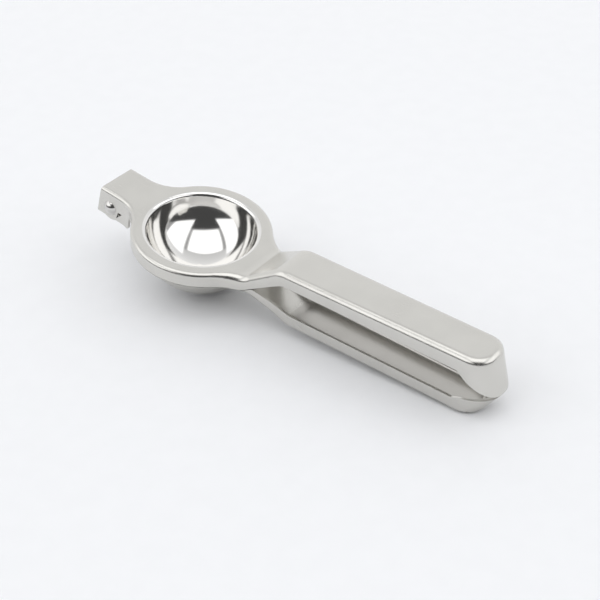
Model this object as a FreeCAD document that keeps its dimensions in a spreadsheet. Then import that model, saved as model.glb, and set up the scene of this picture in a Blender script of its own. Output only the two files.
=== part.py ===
import FreeCAD, Part
import math
import os

import Sketcher

# Hinged lemon squeezer in stamped steel, closed and at rest on a table.
#
# Two arms pressed from sheet meet at a riveted pin. The press arm is on top: a flat ring with a
# deep hollow bowl, a short tab with two ears at the pin end, and a channel handle, open below,
# that ends in a beak. The strainer arm lies under it: a flat ring with a pierced cup, a tongue
# between the ears, and a channel handle, open above. The beak and the strainer arm's nose meet
# when the squeezer is closed.
#
# Both arms are drawn in the ring's own frame: the origin is the middle of the bowl's mouth on the
# ring's top face, X runs to the handles, and Z is square to the ring. Each sub-part is then tipped
# nose down until cup and nose stand on the table, with the origin at the middle of the footprint.

os.makedirs("parts", exist_ok=True)
doc = FreeCAD.newDocument("lemon_squeezer")

SIZES = {
    # sheet, folds and gaps
    "sheet": 1.4,
    "fold_radius": 2.1,
    "handle_fold": 3.2,
    "arm_gap": 0.3,
    # ring, bowl and cup
    "ring_flat": 3.4,
    "skirt_depth": 7.0,
    "bowl_radius": 25.8,
    "bowl_lift": 6.1,
    "rim_radius": 2.1,
    "cup_gap": 0.7,
    "cup_rim_radius": 2.0,
    "drain_radius": 1.9,
    "drain_inner_ring": 8.0,
    "drain_inner_count": 6,
    "drain_outer_ring": 15.5,
    "drain_outer_count": 12,
    # pin end
    "tab_past_pin": 5.5,
    "tab_half_width": 10.8,
    "tab_flare_radius": 20.0,
    "ear_depth": 15.2,
    "ear_lean": 3.1,
    "ear_root": 3.6,
    "pin_offset": 16.5,
    "pin_drop": 9.7,
    "pin_radius": 2.5,
    "pin_fit": 0.05,
    "head_radius": 3.8,
    "head_height": 2.1,
    "lobe_radius": 6.5,
    "notch_inner": 5.4,
    "notch_outer": 8.0,
    "tongue_radius": 5.5,
    "tongue_flare_radius": 14.0,
    # neck and handles
    "neck_length": 3.1,
    "neck_half_width": 17.2,
    "neck_flare_radius": 28.0,
    "ramp_length": 17.5,
    "ramp_angle": 36.72,
    "bend_radius": 8.0,
    "knee_radius": 14.0,
    "handle_half_width": 11.4,
    "handle_tip_half_width": 9.7,
    "press_slope": 6.95,
    "press_wall": 6.8,
    "press_tip_wall": 8.0,
    "handle_length": 92.5,
    "beak_run": 4.5,
    "beak_drop": 3.4,
    "beak_length": 11.1,
    "nose_lean": 6.6,
    "nose_height": 7.9,
    "nose_corner": 9.0,
    "heel_length": 6.1,
    "dip_length": 6.0,
    "dip_drop": 7.3,
    "strainer_slope": 6.1,
    "strainer_wall": 7.3,
    "hump_length": 8.6,
    "hump_height": 3.6,
    "step_height": 2.4,
}

# places along the arms, each measured on from the one before it
PLACES = {
    "ring_radius": "(bowl_radius + rim_radius + ring_flat + fold_radius)",
    "pin_reach": "(ring_radius + pin_offset)",
    "tab_end": "(pin_reach + tab_past_pin)",
    "ear_start": "(ring_radius + ear_root)",
    "neck_start": "(ring_radius + neck_length)",
    "heel_start": "(ring_radius + heel_length)",
    "ramp_end": "(neck_start + ramp_length)",
    "dip_end": "(ramp_end + dip_length)",
    "beak_start": "(ramp_end + handle_length)",
    "beak_top": "(beak_start + beak_length)",
    "nose_tip": "(beak_top + nose_lean)",
}

sheet = doc.addObject("Spreadsheet::Sheet", "Sizes")
for row, (alias, value) in enumerate(SIZES.items(), start=1):
    sheet.set("A%d" % row, alias)
    sheet.set("B%d" % row, str(value))
    sheet.setAlias("B%d" % row, alias)
doc.recompute()


def cell(text):
    """Turn the bare aliases and places of a formula into references to the sheet."""
    words = []
    word = ""
    for mark in text + " ":
        if mark.isalnum() or mark == "_":
            word += mark
        else:
            known = "Sizes." + word if word in SIZES else word
            words.append(cell(PLACES[word]) if word in PLACES else known)
            words.append(mark)
            word = ""
    return "".join(words).strip()


def size(text):
    """The number that a formula of aliases gives, in millimetres or degrees."""
    value = sheet.evalExpression(cell(text))
    return float(getattr(value, "Value", value))


def bind(item, prop, text):
    item.setExpression(prop, cell(text))


def outline(name, corners, upright):
    """A closed sketch of straight edges, each corner held by two bound distances."""
    sketch = doc.addObject("Sketcher::SketchObject", name)
    if upright:
        turn = FreeCAD.Rotation(FreeCAD.Vector(1, 0, 0), 90)
        sketch.Placement = FreeCAD.Placement(FreeCAD.Vector(), turn)
    places = [FreeCAD.Vector(size(across), size(along), 0) for across, along in corners]
    count = len(places)
    for index in range(count):
        sketch.addGeometry(Part.LineSegment(places[index], places[(index + 1) % count]), False)
    for index in range(count):
        sketch.addConstraint(Sketcher.Constraint("Coincident", index, 2, (index + 1) % count, 1))
    for index, (across, along) in enumerate(corners):
        for kind, text, value in (("DistanceX", across, places[index].x),
                                  ("DistanceY", along, places[index].y)):
            number = sketch.addConstraint(Sketcher.Constraint(kind, -1, 1, index, 1, value))
            label = "%s%d" % (kind[-1].lower() + "_corner", index)
            sketch.renameConstraint(number, label)
            bind(sketch, "Constraints." + label, text)
    return sketch


def prism(name, corners, length, upright=False, middle=True):
    """An outline pulled square to its plane, to both sides of it by default."""
    body = doc.addObject("Part::Extrusion", name)
    body.Base = outline(name + "_outline", corners, upright)
    body.DirMode = "Normal"
    body.Solid = True
    body.Symmetric = middle
    bind(body, "LengthFwd", length)
    doc.recompute()
    return body


def rod(name, radius, length, place, along_y=False):
    """A cylinder whose middle is at place, upright or along Y."""
    body = doc.addObject("Part::Cylinder", name)
    bind(body, "Radius", radius)
    bind(body, "Height", length)
    turn = FreeCAD.Rotation(FreeCAD.Vector(1, 0, 0), 90 if along_y else 0)
    body.Placement = FreeCAD.Placement(FreeCAD.Vector(), turn)
    bind(body, "Placement.Base.x", place[0])
    bind(body, "Placement.Base.y", place[1] + (" + (%s) / 2" % length if along_y else ""))
    bind(body, "Placement.Base.z", place[2] + ("" if along_y else " - (%s) / 2" % length))
    doc.recompute()
    return body


def ball(name, radius, height):
    """A sphere on the bowl's axis."""
    body = doc.addObject("Part::Sphere", name)
    bind(body, "Radius", radius)
    bind(body, "Placement.Base.z", height)
    doc.recompute()
    return body


def joined(name, *pieces):
    body = doc.addObject("Part::MultiFuse", name)
    body.Shapes = list(pieces)
    body.Refine = True
    doc.recompute()
    return body


def common(name, first, second):
    body = doc.addObject("Part::Common", name)
    body.Base = first
    body.Tool = second
    body.Refine = True
    doc.recompute()
    return body


def cut(name, base, tool):
    body = doc.addObject("Part::Cut", name)
    body.Base = base
    body.Tool = tool
    body.Refine = True
    doc.recompute()
    return body


def rounded(name, base, choose):
    """Round the edges for which choose(edge) gives a radius."""
    body = doc.addObject("Part::Fillet", name)
    body.Base = base
    marks = []
    for number, edge in enumerate(base.Shape.Edges, start=1):
        radius = choose(edge)
        if radius:
            marks.append((number, *radius) if isinstance(radius, tuple) else (number, radius, radius))
    body.Edges = marks
    doc.recompute()
    return body


def middle_of(edge):
    return edge.valueAt((edge.FirstParameter + edge.LastParameter) / 2)


def upright_edge(edge):
    first, last = edge.Vertexes[0].Point, edge.Vertexes[-1].Point
    return abs(first.x - last.x) < 1e-4 and abs(first.y - last.y) < 1e-4


def side_solid(name, corners, radii):
    """A side view pulled across the arm, with its bends rounded."""
    plain = prism(name + "_plain", corners, "4 * ring_radius", upright=True)
    bends = [(size(across), size(along), radius)
             for (across, along), radius in zip(corners, radii) if radius]

    def choose(edge):
        place = middle_of(edge)
        first, last = edge.Vertexes[0].Point, edge.Vertexes[-1].Point
        if abs(first.y - last.y) < size("sheet"):
            return None
        for across, along, radius in bends:
            if abs(place.x - across) < 1e-3 and abs(place.z - along) < 1e-3:
                return radius
        return None

    return rounded(name, plain, choose)


TALL = "8 * ear_depth"


def plan_solid(name, inset, tab_half, tab_flare):
    """The arm seen from above: ring, tab and tapering handle, drawn in by inset."""
    tab_reach = "tab_end + ear_depth"
    ring = rod(name + "_ring", "ring_radius - (%s)" % inset, TALL, ("0", "0", "0"))
    tab = prism(name + "_tab", [("-(%s)" % tab_reach, "-(%s)" % tab_half), ("0", "-(%s)" % tab_half),
                                ("0", tab_half), ("-(%s)" % tab_reach, tab_half)], TALL)
    far = "nose_tip + 4 * ear_depth"
    neck = "neck_half_width - (%s)" % inset
    root = "handle_half_width - (%s)" % inset
    tip = "handle_tip_half_width - (%s)" % inset
    handle = prism(name + "_handle", [
        ("neck_start / 2", "-(%s)" % neck), ("ramp_end", "-(%s)" % root), (far, "-(%s)" % tip),
        (far, tip), ("ramp_end", root), ("neck_start / 2", neck)], TALL)
    whole = joined(name + "_whole", ring, tab, handle)
    rim = size("ring_radius - (%s)" % inset)
    handle_root = size("ramp_end")
    tab_flare = size("%s + (%s)" % (tab_flare, inset))
    neck_flare = size("neck_flare_radius + (%s)" % inset)

    def choose(edge):
        if not upright_edge(edge):
            return None
        place = middle_of(edge)
        if abs(math.hypot(place.x, place.y) - rim) < 0.01:
            return tab_flare if place.x < 0 else neck_flare
        if abs(place.x - handle_root) < 0.01:
            return 2 * neck_flare
        return None

    return rounded(name, whole, choose)


def nose_rounded(name, base, radius):
    """Round the two leaning corners between the sides and the end of the nose."""
    start = size("beak_start")

    def choose(edge):
        first, last = edge.Vertexes[0].Point, edge.Vertexes[-1].Point
        place = middle_of(edge)
        steep = abs(first.z - last.z) > abs(first.x - last.x)
        beside = place.x > start and abs(place.y) > size("sheet")
        return radius if steep and beside and not upright_edge(edge) else None

    return rounded(name, base, choose)


def fold_rounded(name, base, inset, facing):
    """Round the folds between the web, whose outside faces up or down, and the walls.

    The fold opens out along the neck, from the ring's radius to the handle's."""
    shape = base.Shape
    open_end = -size("tab_end")
    narrow, broad = size("fold_radius - (%s)" % inset), size("handle_fold - (%s)" % inset)
    start, end = size("ring_radius - skirt_depth"), size("neck_start - fold_radius")

    def radius_at(place):
        share = min(max((place.x - start) / (end - start), 0.0), 1.0)
        return narrow + (broad - narrow) * share

    def lean(face, place):
        along, across = face.Surface.parameter(place)
        return face.normalAt(along, across).z * facing

    def choose(edge):
        place = middle_of(edge)
        faces = shape.ancestorsOfType(edge, Part.Face)
        if len(faces) != 2 or (place.x < open_end and abs(place.y) < size("sheet")):
            return None
        leans = sorted(lean(face, place) for face in faces)
        if leans[1] < 0.6 or abs(leans[0]) > 0.6:
            return None
        first, last = edge.firstVertex(True).Point, edge.lastVertex(True).Point
        return radius_at(first), radius_at(last)

    return rounded(name, base, choose)


RAMP_RISE = "(ramp_end - neck_start) * tan(ramp_angle)"
FAR_BACK = "-(tab_end + 2 * ear_depth)"
FAR_FRONT = "nose_tip + ear_depth"
HIGH = "3 * ear_depth"
LOW = "-3 * ear_depth"


def press_top(reach):
    """Height of the press handle's top above the ring."""
    return "(%s + (%s - ramp_end) * tan(press_slope))" % (RAMP_RISE, reach)


def press_side(name, inset):
    """Side view of the press arm: ring, ramp, handle and the leaning end of the beak."""
    between = "(ramp_angle + press_slope) / 2"
    turn = "cos((ramp_angle - press_slope) / 2)"
    lean = "(nose_tip - beak_top) / (%s - nose_height)" % press_top("beak_top")
    corners = [
        (FAR_BACK, "-(%s)" % inset),
        ("neck_start + (%s) * tan(ramp_angle / 2)" % inset, "-(%s)" % inset),
        ("ramp_end + (%s) * sin(%s) / %s" % (inset, between, turn),
         "%s - (%s) * cos(%s) / %s" % (RAMP_RISE, inset, between, turn)),
        ("beak_top - (%s)" % inset, "%s - (%s) / cos(press_slope)" % (press_top("beak_top"), inset)),
        ("nose_tip - 1.1 * (%s) + (nose_height - (%s)) * %s" % (inset, LOW, lean), LOW),
        (FAR_BACK, LOW),
    ]
    bend = size("bend_radius + (%s)" % inset)
    knee = size("knee_radius - (%s)" % inset)
    return side_solid(name, corners, [0, bend, knee, 0, 0, 0])


def press_trim(name):
    """Side view of what the press arm keeps: all above the lower edge of its walls."""
    dip = "(ramp_end + press_wall / 2.3)"
    tail = press_top("beak_start") + " - press_tip_wall"
    corners = [
        ("-tab_end", HIGH),
        ("-tab_end", "0"),
        ("-(tab_end + ear_lean)", "-ear_depth"),
        ("-ear_start", "-ear_depth"),
        ("-(ear_start - sheet)", "-skirt_depth"),
        ("ring_radius + skirt_depth / 2.3", "-skirt_depth"),
        (dip, press_top(dip) + " - press_wall"),
        ("beak_start", tail),
        ("beak_start + beak_run", tail + " - beak_drop"),
        ("nose_tip", "nose_height"),
        (FAR_FRONT, "nose_height"),
        (FAR_FRONT, HIGH),
    ]
    bend = size("bend_radius")
    small = size("sheet")
    return side_solid(name, corners, [0, 0, 0, small, small, bend, bend, 2 * small, 2 * small, 0, 0, 0])


FLOOR_TOP = "-(skirt_depth + arm_gap)"
FLOOR = "-(skirt_depth + arm_gap + sheet)"
DIP = "-(skirt_depth + arm_gap + sheet + dip_drop)"
TONGUE_TOP = "-(pin_drop - tongue_radius)"
TONGUE_FLOOR = "-(pin_drop + tongue_radius)"
TONGUE_END = "-(pin_reach + tongue_radius)"
TONGUE_ROOT = "-(pin_reach - tongue_radius)"


def strainer_bottom(reach):
    """Height of the strainer handle's underside, from the ring's top face."""
    return "(%s + (%s - dip_end) * tan(strainer_slope))" % (DIP, reach)


def strainer_side(name, inset):
    """Side view of the strainer arm: tongue, ring, ramp, handle and the leaning end of the nose."""
    lean = "(nose_tip - beak_top) / (nose_height - %s)" % strainer_bottom("beak_top")
    corners = [
        (FAR_BACK, TONGUE_FLOOR + " + (%s)" % inset),
        (TONGUE_ROOT, TONGUE_FLOOR + " + (%s)" % inset),
        ("-(ring_radius + arm_gap)", FLOOR + " + (%s)" % inset),
        ("heel_start", FLOOR + " + (%s)" % inset),
        ("dip_end", DIP + " + (%s)" % inset),
        ("beak_top - (%s)" % inset, strainer_bottom("beak_top") + " + (%s)" % inset),
        ("nose_tip - 1.1 * (%s) + (%s - nose_height) * %s" % (inset, HIGH, lean), HIGH),
        (FAR_BACK, HIGH),
    ]
    bend = size("bend_radius")
    return side_solid(name, corners, [0, bend, bend / 2, bend, bend, 0, 0, 0])


def strainer_trim(name):
    """Side view of what the strainer arm keeps: all below the upper edge of its walls."""
    tail = strainer_bottom("beak_start") + " + strainer_wall"
    corners = [
        (TONGUE_END, TONGUE_FLOOR),
        ("-pin_reach", TONGUE_FLOOR),
        ("-pin_reach", LOW),
        (FAR_FRONT, LOW),
        (FAR_FRONT, "nose_height - arm_gap"),
        ("nose_tip", "nose_height - arm_gap"),
        ("beak_start + beak_run", tail + " + step_height"),
        ("beak_start", tail),
        ("dip_end + sheet", strainer_bottom("dip_end + sheet") + " + strainer_wall"),
        ("ring_radius + hump_length", FLOOR_TOP + " + hump_height"),
        ("ring_radius + skirt_depth / 2.3", FLOOR_TOP),
        ("-(ear_start - sheet)", FLOOR_TOP),
        (TONGUE_ROOT, TONGUE_TOP),
        (TONGUE_END, TONGUE_TOP),
    ]
    end = 0.98 * size("tongue_radius")
    bend = size("bend_radius")
    small = size("sheet")
    return side_solid(name, corners, [end, 0, 0, 0, 0, 0, 2 * small, small, bend, small, small, 0, 0, end])


def stamped(name, side, trim, facing, tab_half, tab_flare):
    """A sheet arm: the outer form with its folds, less the same form drawn in by the sheet."""
    forms = []
    for kind, inset in (("outer", "0"), ("inner", "sheet")):
        stem = name + "_" + kind
        plan = plan_solid(stem + "_plan", inset, "(%s - (%s))" % (tab_half, inset), tab_flare)
        blank = common(stem + "_blank", plan, side(stem + "_side", inset))
        nose = nose_rounded(stem + "_nose", blank, size("nose_corner - (%s)" % inset))
        forms.append(fold_rounded(stem + "_folds", nose, inset, facing))
    return common(name + "_stamping", cut(name + "_sheet", *forms), trim(name + "_trim"))


LAND = "ring_radius - fold_radius"
CUP_CENTRE = "-rim_radius"
BOWL_CENTRE = "(bowl_lift - rim_radius)"
BOWL_CURVE = "sqrt(bowl_radius ^ 2 + bowl_lift ^ 2)"
CUP_RADIUS = "(bowl_radius + sheet + cup_gap)"


def dish(name, stamping, top, centre, radius, rim):
    """A round shell hung in the ring, its mouth rolled into the flat of the ring."""
    land = rod(name + "_land", LAND, "sheet", ("0", "0", "%s - sheet / 2" % top))
    below = rod(name + "_below", LAND, "2 * ring_radius", ("0", "0", "%s - ring_radius" % top))
    outside = common(name + "_outside", ball(name + "_ball", "%s + sheet" % radius, centre), below)
    whole = joined(name + "_whole", land, outside)
    shell = cut(name + "_shell", whole, ball(name + "_hollow", radius, centre))
    upper, lower = size(top), size(top + " - sheet")
    reach = size(LAND + " - sheet / 2")

    def choose(edge):
        place = middle_of(edge)
        if math.hypot(place.x, place.y) > reach:
            return None
        if abs(place.z - upper) < 1e-3:
            return size(rim)
        return size(rim + " - sheet") if abs(place.z - lower) < 1e-3 else None

    opening = rod(name + "_opening", LAND, "4 * sheet", ("0", "0", top))
    return joined(name, cut(name + "_ring", stamping, opening), rounded(name + "_rim", shell, choose))


# press arm: ring, bowl, ears with their lobes, and handle
press = stamped("press", press_side, press_trim, 1, "tab_half_width", "tab_flare_radius")
press_bowl = dish("bowl", press, "0", BOWL_CENTRE, BOWL_CURVE, "rim_radius")
PIN = ("-pin_reach", "0", "-pin_drop")
lobes = cut("lobes", rod("lobe_disc", "lobe_radius", "2 * tab_half_width", PIN, along_y=True),
            rod("lobe_middle", "2 * lobe_radius", "2 * (tab_half_width - sheet)", PIN, along_y=True))
notch = prism("notch", [("-(pin_reach - notch_inner)", "-pin_drop"),
                        ("-(pin_reach - notch_outer)", "-pin_drop"),
                        ("-(pin_reach - 0.75 * notch_inner)", "-(pin_drop + 0.75 * notch_inner)")],
              "3 * tab_half_width", upright=True)
press_bore = rod("press_bore", "pin_radius", "3 * tab_half_width", PIN, along_y=True)
press_arm = cut("press_arm", joined("press_body", press_bowl, lobes),
                joined("press_cuts", press_bore, notch))

# strainer arm: ring, pierced cup, tongue and handle
tongue_half = "(tab_half_width - sheet - arm_gap)"
strainer = stamped("strainer", strainer_side, strainer_trim, -1, tongue_half, "tongue_flare_radius")
strainer_cup = dish("cup", strainer, FLOOR_TOP, CUP_CENTRE, CUP_RADIUS, "cup_rim_radius")
cuts = [rod("tongue_bore", "pin_radius + pin_fit", "3 * tab_half_width", PIN, along_y=True)]
cuts.append(rod("drain_middle", "drain_radius", "ring_radius", ("0", "0", "-ring_radius")))
for ring in ("drain_inner", "drain_outer"):
    for index in range(int(size(ring + "_count"))):
        turn = "(%d * 360 / %s_count)" % (index, ring)
        place = ("%s_ring * cos(%s)" % (ring, turn), "%s_ring * sin(%s)" % (ring, turn), "-ring_radius")
        cuts.append(rod("%s_%d" % (ring, index + 1), "drain_radius", "ring_radius", place))
strainer_arm = cut("strainer_arm", strainer_cup, joined("strainer_cuts", *cuts))

# hinge pin: a plain shank with a low dome at each end
HEAD_BALL = "((head_radius ^ 2 + head_height ^ 2) / (2 * head_height))"
shank = rod("shank", "pin_radius", "2 * tab_half_width + head_height", PIN, along_y=True)
heads = []
for name, turn in (("near", 90), ("far", -90)):
    head = doc.addObject("Part::Sphere", name + "_head")
    head.Placement = FreeCAD.Placement(FreeCAD.Vector(), FreeCAD.Rotation(FreeCAD.Vector(1, 0, 0), turn))
    bind(head, "Radius", HEAD_BALL)
    bind(head, "Angle1", "asin(1 - head_height / %s)" % HEAD_BALL)
    side = "-" if turn > 0 else ""
    bind(head, "Placement.Base.x", PIN[0])
    bind(head, "Placement.Base.y", "%s(tab_half_width + head_height - %s)" % (side, HEAD_BALL))
    bind(head, "Placement.Base.z", PIN[2])
    heads.append(head)
doc.recompute()
hinge_pin = joined("hinge_pin", shank, *heads)

# rest pose: tipped until the cup and the lower fold of the nose stand on the same level
slope = math.radians(size("strainer_slope"))
corner = (size("beak_top"), size(strainer_bottom("beak_top")))
nose = math.atan2(size("nose_height") - corner[1], size("nose_tip") - corner[0])
fold = size("handle_fold")
back = fold / math.tan((math.pi + slope - nose) / 2)
fold_x = corner[0] - back * math.cos(slope) - fold * math.sin(slope)
fold_z = corner[1] - back * math.sin(slope) + fold * math.cos(slope)
drop = size(CUP_CENTRE) - fold_z
cup = size(CUP_RADIUS + " + sheet")
tip = math.asin((cup - fold) / math.hypot(fold_x, drop)) - math.atan2(drop, fold_x)
turn = FreeCAD.Rotation(FreeCAD.Vector(0, 1, 0), math.degrees(tip))
parts = (press_arm, strainer_arm, hinge_pin)
for part in parts:
    part.Placement = FreeCAD.Placement(FreeCAD.Vector(), turn)
doc.recompute()
span = FreeCAD.BoundBox()
for part in parts:
    span.add(part.Shape.optimalBoundingBox(False, False))
shift = FreeCAD.Vector(-span.Center.x, -span.Center.y, -span.ZMin)
for part in parts:
    part.Placement = FreeCAD.Placement(shift, turn)
    part.Label = part.Name
doc.recompute()

for item in doc.Objects:
    if "Invalid" in item.State or "Error" in item.State:
        raise RuntimeError("%s is %s" % (item.Name, item.State))
for part in parts:
    shape = part.Shape
    if shape.isNull() or not shape.isValid() or len(shape.Solids) != 1:
        raise RuntimeError("%s has no single valid solid" % part.Label)
    shape.exportStep("parts/%s.step" % part.Label)
    print(part.Label, round(shape.Volume, 1), shape.BoundBox)
print("tipped", math.degrees(tip), "moved", shift)
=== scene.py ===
import math

import bpy
from mathutils import Matrix, Vector

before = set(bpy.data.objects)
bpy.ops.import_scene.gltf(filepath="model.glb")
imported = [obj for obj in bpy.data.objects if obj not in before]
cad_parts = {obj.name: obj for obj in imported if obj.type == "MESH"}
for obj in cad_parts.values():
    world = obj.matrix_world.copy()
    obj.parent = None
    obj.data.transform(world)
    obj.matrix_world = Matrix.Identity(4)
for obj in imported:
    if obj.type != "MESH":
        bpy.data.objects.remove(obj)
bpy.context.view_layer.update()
scene = bpy.context.scene
scene.view_settings.view_transform = "Standard"

# The ring's own frame inside the row frame: the squeezer stands tipped nose down. RING is the
# middle of the bowl's mouth, ACROSS runs to the handles in the ring's plane and SQUARE leaves
# the ring's top face. BOWL and CUP are the middles of the two spheres.
TIP = math.radians(9.487)
RING = Vector((-0.051526, 0.0, 0.031371))
ACROSS = Vector((math.cos(TIP), 0.0, -math.sin(TIP)))
SQUARE = Vector((math.sin(TIP), 0.0, math.cos(TIP)))
BOWL = RING + SQUARE * 0.0040
CUP = RING - SQUARE * 0.0021
BOWL_RADIUS = 0.02651
CUP_RADIUS = 0.0279
MOUTH_RADIUS = 0.0281

# The handles in the same frame: half their width and the heights of the upper one's top and the
# lower one's underside at a start, and how much each changes per metre of handle.
HANDLE_START = 0.054
HALF_WIDTH = 0.0114
NARROWING = 0.0184
PRESS_TOP = 0.01305
PRESS_SLOPE = 0.1219
STRAINER_START = 0.060
STRAINER_UNDER = -0.016
STRAINER_SLOPE = 0.1069
NOSE_WALL = 0.1540

# Strength of the softbox overhead and of the two beside it.
OVERHEAD = 1.55
FLANK = 1.5


class Wire:
    """A shader socket that takes part in Python arithmetic; each operator adds its Math node."""

    def __init__(self, shop, socket):
        self.shop = shop
        self.socket = socket

    def math(self, operation, *others):
        terms = dict(enumerate((self,) + others))
        return self.shop.node("ShaderNodeMath", {"operation": operation}, terms)

    def __add__(self, other):
        return self.math("ADD", other)

    def __radd__(self, other):
        return self.math("ADD", other)

    def __sub__(self, other):
        return self.math("SUBTRACT", other)

    def __rsub__(self, other):
        return self.shop.node("ShaderNodeMath", {"operation": "SUBTRACT"}, {0: other, 1: self})

    def __mul__(self, other):
        return self.math("MULTIPLY", other)

    def __rmul__(self, other):
        return self.math("MULTIPLY", other)

    def __truediv__(self, other):
        return self.math("DIVIDE", other)

    def over(self, low, high):
        """0 below low, 1 above high, and a smooth rise between them."""
        return self.shop.node(
            "ShaderNodeMapRange",
            {"interpolation_type": "SMOOTHSTEP"},
            {"Value": self, "From Min": low, "From Max": high},
        )


class Finish:
    """The node tree of a material, or of the world where one is given."""

    def __init__(self, name, world=None):
        self.owner = world or bpy.data.materials.new(name)
        self.owner.use_nodes = True
        self.tree = self.owner.node_tree
        self.tree.nodes.clear()

    def node(self, kind, settings=None, inputs=None, output=0):
        """Any node: settings are set first, then each socket gets its value or its link."""
        made = self.tree.nodes.new(kind)
        for key, value in (settings or {}).items():
            setattr(made, key, value)
        for key, value in (inputs or {}).items():
            if isinstance(value, Wire):
                self.tree.links.new(value.socket, made.inputs[key])
            else:
                made.inputs[key].default_value = value
        return Wire(self, made.outputs[output])

    def along(self, direction, start):
        """Distance of the shaded point from start along a direction, in metres."""
        place = self.node("ShaderNodeTexCoord", output="Object")
        gap = self.node("ShaderNodeVectorMath", {"operation": "SUBTRACT"}, {0: place, 1: start})
        return self.node(
            "ShaderNodeVectorMath", {"operation": "DOT_PRODUCT"}, {0: gap, 1: direction}, "Value"
        )

    def noise(self, scale, detail=2.0, stretch=(1.0, 1.0, 1.0), turn=(0.0, 0.0, 0.0)):
        """Noise on Object coordinates; stretch divides its frequency along each axis."""
        place = self.node("ShaderNodeTexCoord", output="Object")
        spread = self.node(
            "ShaderNodeMapping",
            {"vector_type": "TEXTURE"},
            {"Vector": place, "Rotation": turn, "Scale": stretch},
        )
        return self.node("ShaderNodeTexNoise", inputs={"Vector": spread, "Scale": scale, "Detail": detail})

    def blend(self, mask, first, second):
        """First colour where mask is 0, second where it is 1."""
        return self.node(
            "ShaderNodeMix", {"data_type": "RGBA"}, {"Factor": mask, 6: first, 7: second}, 2
        )

    def close(self, surface, kind="ShaderNodeOutputMaterial"):
        out = self.tree.nodes.new(kind)
        self.tree.links.new(surface.socket, out.inputs["Surface"])
        return self.owner


def steel(name, tone, polished, channel):
    """Satin stainless steel: fine lines along the arm, cloudy wear, a polished hollow and a
    rougher inside of the channel, whose colour is darkened there as painted shade."""
    shop = Finish(name)
    fine = shop.noise(2600.0, 3.0, (14.0, 1.0, 1.0), (0.0, TIP, 0.0))
    cloud = shop.noise(55.0, 3.0)
    speck = shop.noise(900.0, 2.0)
    mask = polished(shop)
    # The channel mask makes the finish rougher and also carries painted shade into the colour.
    dull_and_shaded = channel(shop)
    satin = fine * 0.08 + cloud * 0.08 + dull_and_shaded * 0.06 + 0.17
    rough = satin * (1.0 - mask) + (cloud * 0.05 + 0.07) * mask
    tint = shop.blend(cloud.over(0.3, 0.7), tone, tuple(c * 0.96 for c in tone[:3]) + (1.0,))
    # Painted shade: the inside of each handle's channel is darkened to a dim brownish grey.
    tint = shop.blend(dull_and_shaded * (cloud * 0.3 + 0.75), tint, (0.53, 0.515, 0.485, 1.0))
    shine = shop.blend(mask, tint, (0.80, 0.79, 0.77, 1.0))
    round_edge = shop.node("ShaderNodeBevel", {"samples": 6}, {"Radius": 0.0003})
    grain = shop.node(
        "ShaderNodeBump",
        inputs={
            "Strength": 0.16,
            "Distance": 0.00004,
            "Height": (fine + speck * 0.5) * (1.0 - mask),
            "Normal": round_edge,
        },
    )
    surface = shop.node(
        "ShaderNodeBsdfPrincipled",
        inputs={"Base Color": shine, "Metallic": 1.0, "Roughness": rough, "Normal": grain},
    )
    return shop.close(surface)


def round_place(shop, middle):
    """Distances of the shaded point from the bowl's axis, from a middle on it, and above it."""
    out = shop.along(tuple(ACROSS), tuple(middle))
    side = shop.along((0.0, 1.0, 0.0), tuple(middle))
    high = shop.along(tuple(SQUARE), tuple(middle))
    from_axis = (out * out + side * side).math("POWER", 0.5)
    return from_axis, (from_axis * from_axis + high * high).math("POWER", 0.5), high


def bowl_mask(shop):
    """1 in the bowl and on its rolled rim, 0 on the flat of the ring and outside the bowl."""
    from_axis, from_middle, high = round_place(shop, BOWL)
    mouth = 1.0 - from_axis.over(MOUTH_RADIUS - 0.0006, MOUTH_RADIUS)
    inside = 1.0 - from_middle.over(BOWL_RADIUS + 0.0004, BOWL_RADIUS + 0.0009)
    return mouth * inside.math("MAXIMUM", high.over(-0.0064, -0.0060))


def cup_mask(shop):
    """1 inside the pierced cup, 0 elsewhere."""
    from_axis, from_middle, high = round_place(shop, CUP)
    inside = 1.0 - from_middle.over(CUP_RADIUS + 0.0004, CUP_RADIUS + 0.0009)
    return inside * (1.0 - high.over(-0.0068, -0.0062))


def channel_place(shop):
    """Distance along the handle, height above the ring, and 1 between the handle's side walls."""
    reach = shop.along(tuple(ACROSS), tuple(RING))
    high = shop.along(tuple(SQUARE), tuple(RING))
    side = shop.along((0.0, 1.0, 0.0), (0.0, 0.0, 0.0)).math("ABSOLUTE")
    wall = side - HALF_WIDTH + (reach - HANDLE_START) * NARROWING
    along = reach.over(HANDLE_START, 0.062) * (1.0 - reach.over(NOSE_WALL, 0.1550))
    return reach, high, (1.0 - wall.over(-0.0010, -0.0005)) * along


def press_channel(shop):
    """1 on the inside of the upper handle, which opens downwards."""
    reach, high, between = channel_place(shop)
    under = high - PRESS_TOP - (reach - HANDLE_START) * PRESS_SLOPE
    return between * (1.0 - under.over(-0.0010, -0.0005))


def strainer_channel(shop):
    """1 on the inside of the lower handle, which opens upwards."""
    reach, high, between = channel_place(shop)
    above = high - STRAINER_UNDER - (reach - STRAINER_START) * STRAINER_SLOPE
    return between * above.over(0.0005, 0.0010)


def pin_steel():
    """Turned and tumbled steel of the rivet, smoother than the stampings."""
    shop = Finish("tumbled_pin_steel")
    cloud = shop.noise(320.0, 2.0)
    dent = shop.node(
        "ShaderNodeBump", inputs={"Strength": 0.12, "Distance": 0.00003, "Height": shop.noise(1400.0, 2.0)}
    )
    tint = shop.blend(cloud.over(0.35, 0.65), (0.66, 0.65, 0.63, 1.0), (0.58, 0.57, 0.55, 1.0))
    surface = shop.node(
        "ShaderNodeBsdfPrincipled",
        inputs={"Base Color": tint, "Metallic": 1.0, "Roughness": cloud * 0.08 + 0.11, "Normal": dent},
    )
    return shop.close(surface)


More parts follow.
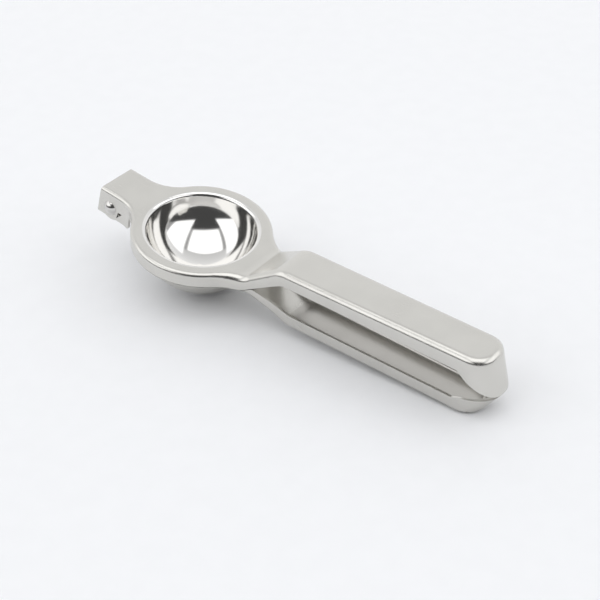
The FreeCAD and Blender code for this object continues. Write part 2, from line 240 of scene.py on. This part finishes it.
finishes = {
    "press_arm": steel("satin_press_steel", (0.665, 0.653, 0.618, 1.0), bowl_mask, press_channel),
    "strainer_arm": steel("satin_strainer_steel", (0.655, 0.643, 0.61, 1.0), cup_mask, strainer_channel),
    "hinge_pin": pin_steel(),
}
for name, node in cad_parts.items():
    for place in node.material_slots:
        place.material = finishes[name]


def floor_finish():
    """Matt pale studio paper."""
    shop = Finish("studio_paper")
    grain = shop.noise(90.0, 3.0)
    tone = shop.blend(grain.over(0.3, 0.7), (0.876, 0.882, 0.896, 1.0), (0.886, 0.892, 0.906, 1.0))
    surface = shop.node("ShaderNodeBsdfPrincipled", inputs={"Base Color": tone, "Roughness": 0.9})
    return shop.close(surface)


sheet = bpy.data.meshes.new("studio_floor")
half = 3.0
corners = [(-half, -half, 0), (half, -half, 0), (half, half, 0), (-half, half, 0)]
sheet.from_pydata(corners, [], [(0, 1, 2, 3)])
sheet.materials.append(floor_finish())
floor = bpy.data.objects.new("studio_floor", sheet)
scene.collection.objects.link(floor)


def studio_air():
    """Light from all round, by direction: a broad softbox overhead on the near side, one to each
    side lower down, a pale room behind, and the dark of the room behind the photographer.

    A direction is read on a level plane one unit up: near runs towards the photographer and
    beside runs to their left, so the softboxes are rectangles in near and beside."""
    world = bpy.data.worlds.new("studio_air")
    shop = Finish("studio_air", world)
    way = shop.node("ShaderNodeTexCoord")
    east, north, up = (
        shop.node("ShaderNodeVectorMath", {"operation": "DOT_PRODUCT"}, {0: way, 1: axis}, "Value")
        for axis in ((1.0, 0.0, 0.0), (0.0, 1.0, 0.0), (0.0, 0.0, 1.0))
    )
    height = up.math("MAXIMUM", 0.02)
    near = (east * 0.616 - north * 0.788) / height
    beside = (east * 0.788 + north * 0.616) / height
    wide = beside.math("ABSOLUTE")
    overhead = near.over(-0.30, -0.20) * (1.0 - near.over(0.74, 0.84)) * (1.0 - wide.over(0.56, 0.66))
    flank = wide.over(0.74, 0.84) * near.over(-0.7, -0.5) * (1.0 - near.over(1.6, 2.0))
    flank = flank * up.over(0.20, 0.26)
    hush = near.over(0.80, 0.92) * (1.0 - wide.over(0.85, 1.05) * (1.0 - near.over(1.6, 2.0)))
    seam = near.over(-0.35, -0.2) * (1.0 - overhead) * (1.0 - flank) * (1.0 - hush)
    back = (0.5 - near * 0.5).over(0.55, 1.1) * 0.27 + 0.70
    level = back * (1.0 - seam * 0.45) * (1.0 - hush * 0.90) * (1.0 - overhead) * (1.0 - flank)
    level = level + overhead * OVERHEAD + flank * FLANK
    seen = shop.node("ShaderNodeLightPath", output="Is Camera Ray")
    lit = shop.node(
        "ShaderNodeBackground",
        inputs={"Color": (0.985, 0.99, 1.0, 1.0), "Strength": level * (1.0 - seen) + seen * 0.9},
    )
    return shop.close(lit, "ShaderNodeOutputWorld")


scene.world = studio_air()


# The photograph's point of view, in the row frame.
camera_data = bpy.data.cameras.new("studio_camera")
camera_data.lens = 72.0
camera_data.sensor_width = 36.0
camera_data.clip_start = 0.01
camera = bpy.data.objects.new("studio_camera", camera_data)
view = Matrix(
    (
        (0.78035345, -0.34208145, 0.52347757, 0.28907248),
        (0.62315697, 0.49525575, -0.60530747, -0.32739212),
        (-0.05219082, 0.79856247, 0.59964498, 0.33822732),
        (0.0, 0.0, 0.0, 1.0),
    )
)
camera.matrix_world = view
scene.collection.objects.link(camera)
scene.camera = camera
